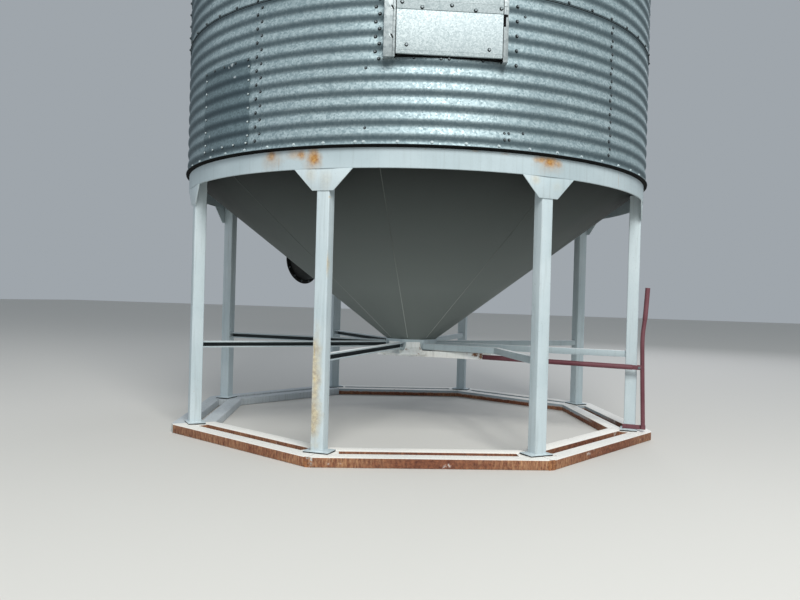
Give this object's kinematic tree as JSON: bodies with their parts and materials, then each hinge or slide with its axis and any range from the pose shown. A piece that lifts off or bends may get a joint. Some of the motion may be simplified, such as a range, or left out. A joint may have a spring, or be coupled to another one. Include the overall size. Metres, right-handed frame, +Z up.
{
  "type": "hopper-bottom grain silo",
  "caption": "Round grain silo of corrugated steel with a conical hopper, on square legs and an octagonal skid, with a lever-worked slide gate.",
  "frame": {"origin": "on the silo's axis at the underside of the skid", "axes": "+Z up along the silo's axis; +X towards the leg that the hand lever stands beside; the hatch faces about -67 degrees from +X"},
  "size_m": [4.656, 4.656, 9.1618],
  "materials": {
    "grey_paint": "light bluish grey enamel, weathered, with rust stains at welds and foot plates",
    "rusty_skid_paint": "light grey enamel on top, rusty brown on the sides",
    "dark_hopper_paint": "dull dark grey paint over rolled sheet with weld seams",
    "dark_red_paint": "faded dark red enamel",
    "galvanised_sheet": "weathered hot-dip zinc with spangle",
    "bright_zinc": "smooth zinc-coated sheet, brighter than the wall"
  },
  "bodies": {
    "structure": {"leg_1": "grey_paint", "leg_2": "grey_paint", "leg_3": "grey_paint", "leg_4": "grey_paint", "leg_5": "grey_paint", "leg_6": "grey_paint", "leg_7": "grey_paint", "leg_8": "grey_paint", "brace_1": "grey_paint", "brace_2": "grey_paint", "brace_3": "grey_paint", "brace_4": "grey_paint", "brace_5": "grey_paint", "brace_6": "grey_paint", "brace_7": "grey_paint", "brace_8": "grey_paint", "skid_side_1": "rusty_skid_paint", "skid_side_2": "rusty_skid_paint", "skid_side_3": "rusty_skid_paint", "skid_side_4": "rusty_skid_paint", "skid_side_5": "rusty_skid_paint", "skid_side_6": "rusty_skid_paint", "skid_side_7": "rusty_skid_paint", "skid_side_8": "rusty_skid_paint", "hopper_band": "grey_paint", "bottom_flange": "grey_paint", "hopper_cone": "dark_hopper_paint", "manhole_collar": "dark_hopper_paint", "manhole_lid": "dark_hopper_paint", "outlet_hub": "grey_paint", "gate_frame": "grey_paint", "lever_bracket": "dark_red_paint", "wall_ring_1": "galvanised_sheet", "wall_ring_2": "galvanised_sheet", "wall_ring_3": "galvanised_sheet", "wall_ring_4": "galvanised_sheet", "wall_ring_5": "galvanised_sheet", "hatch_frame": "bright_zinc", "hatch_panel": "bright_zinc", "hatch_door": "bright_zinc", "roof": "galvanised_sheet", "roof_cap": "galvanised_sheet"},
    "lever": {"hand_lever": "dark_red_paint"},
    "rod": {"pull_rod": "dark_red_paint"},
    "gate": {"gate_plate": "grey_paint"}
  },
  "joints": [
    {"name": "lever_swing", "type": "hinge", "parent": "structure", "child": "lever", "pos_m": [2.2555, -0.078, 0.118], "axis": [0, 1, 0], "range_deg": [0, 36]},
    {"name": "rod_turn", "type": "hinge", "parent": "lever", "child": "rod", "pos_m": [2.211, -0.125, 0.661], "axis": [0, 1, 0], "range_deg": [-34, 0]},
    {"name": "gate_slide", "type": "slide", "parent": "structure", "child": "gate", "axis": [1, 0, 0], "range_m": [0, 0.331]}
  ],
  "couplings": [
    {"joint": "rod_turn", "follows": "lever_swing", "ratio": -0.9353},
    {"joint": "gate_slide", "follows": "lever_swing", "m_per_rad": 0.5258}
  ]
}
